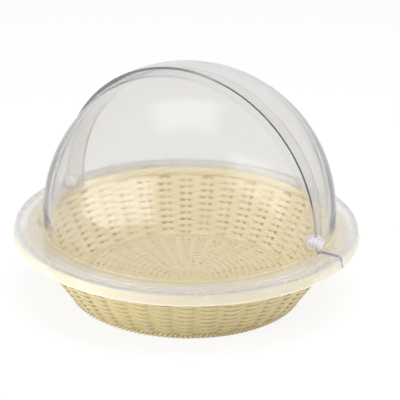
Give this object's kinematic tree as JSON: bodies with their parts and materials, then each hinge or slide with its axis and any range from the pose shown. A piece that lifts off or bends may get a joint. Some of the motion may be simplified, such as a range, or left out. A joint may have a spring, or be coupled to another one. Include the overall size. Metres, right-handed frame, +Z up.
{
  "type": "countertop bread display bin",
  "caption": "Round woven bowl with a clear two-piece domed cover; the front half rolls back inside the fixed rear half on side pivots.",
  "frame": {"origin": "centre of the foot ring on the counter, under the middle of the object", "axes": "+Z up, X along the cover's pivot axis, -Y towards the front, where the cover opens"},
  "size_m": [0.4, 0.4, 0.271],
  "materials": {
    "woven_straw": "satin cream woven strand",
    "stake_straw": "satin cream stake",
    "braided_foot": "satin, slightly darker braid",
    "clear_cover": "clear, polished, faint violet at the cut edges",
    "pivot_plastic": "translucent, glossy"
  },
  "bodies": {
    "basket": {"base_weave": "woven_straw", "foot_ring": "braided_foot", "wall_weave": "woven_straw", "border_roll": "woven_straw", "stake_01": "stake_straw", "stake_02": "stake_straw", "stake_03": "stake_straw", "stake_04": "stake_straw", "stake_05": "stake_straw", "stake_06": "stake_straw", "stake_07": "stake_straw", "stake_08": "stake_straw", "stake_09": "stake_straw", "stake_10": "stake_straw", "stake_11": "stake_straw", "stake_12": "stake_straw", "stake_13": "stake_straw", "stake_14": "stake_straw", "stake_15": "stake_straw", "stake_16": "stake_straw", "stake_17": "stake_straw", "stake_18": "stake_straw", "stake_19": "stake_straw", "stake_20": "stake_straw", "stake_21": "stake_straw", "stake_22": "stake_straw", "stake_23": "stake_straw", "stake_24": "stake_straw", "stake_25": "stake_straw", "stake_26": "stake_straw", "stake_27": "stake_straw", "stake_28": "stake_straw", "stake_29": "stake_straw", "stake_30": "stake_straw", "stake_31": "stake_straw", "stake_32": "stake_straw", "stake_33": "stake_straw", "stake_34": "stake_straw", "stake_35": "stake_straw", "stake_36": "stake_straw", "stake_37": "stake_straw", "stake_38": "stake_straw", "stake_39": "stake_straw", "stake_40": "stake_straw"},
    "cover": {"rear_cover": "clear_cover", "pivot_pin_left": "pivot_plastic", "pivot_pin_right": "pivot_plastic", "pivot_spacer_left": "pivot_plastic", "pivot_spacer_right": "pivot_plastic", "pivot_cap_left": "pivot_plastic", "pivot_cap_right": "pivot_plastic"},
    "front": {"front_cover": "clear_cover"}
  },
  "joints": [
    {"name": "cover_lift", "type": "slide", "parent": "basket", "child": "cover", "axis": [0, 0, 1], "range_m": [0, 0.1]},
    {"name": "front_roll", "type": "hinge", "parent": "cover", "child": "front", "pos_m": [0, 0, 0.099], "axis": [-1, 0, 0], "range_deg": [0, 93]}
  ]
}
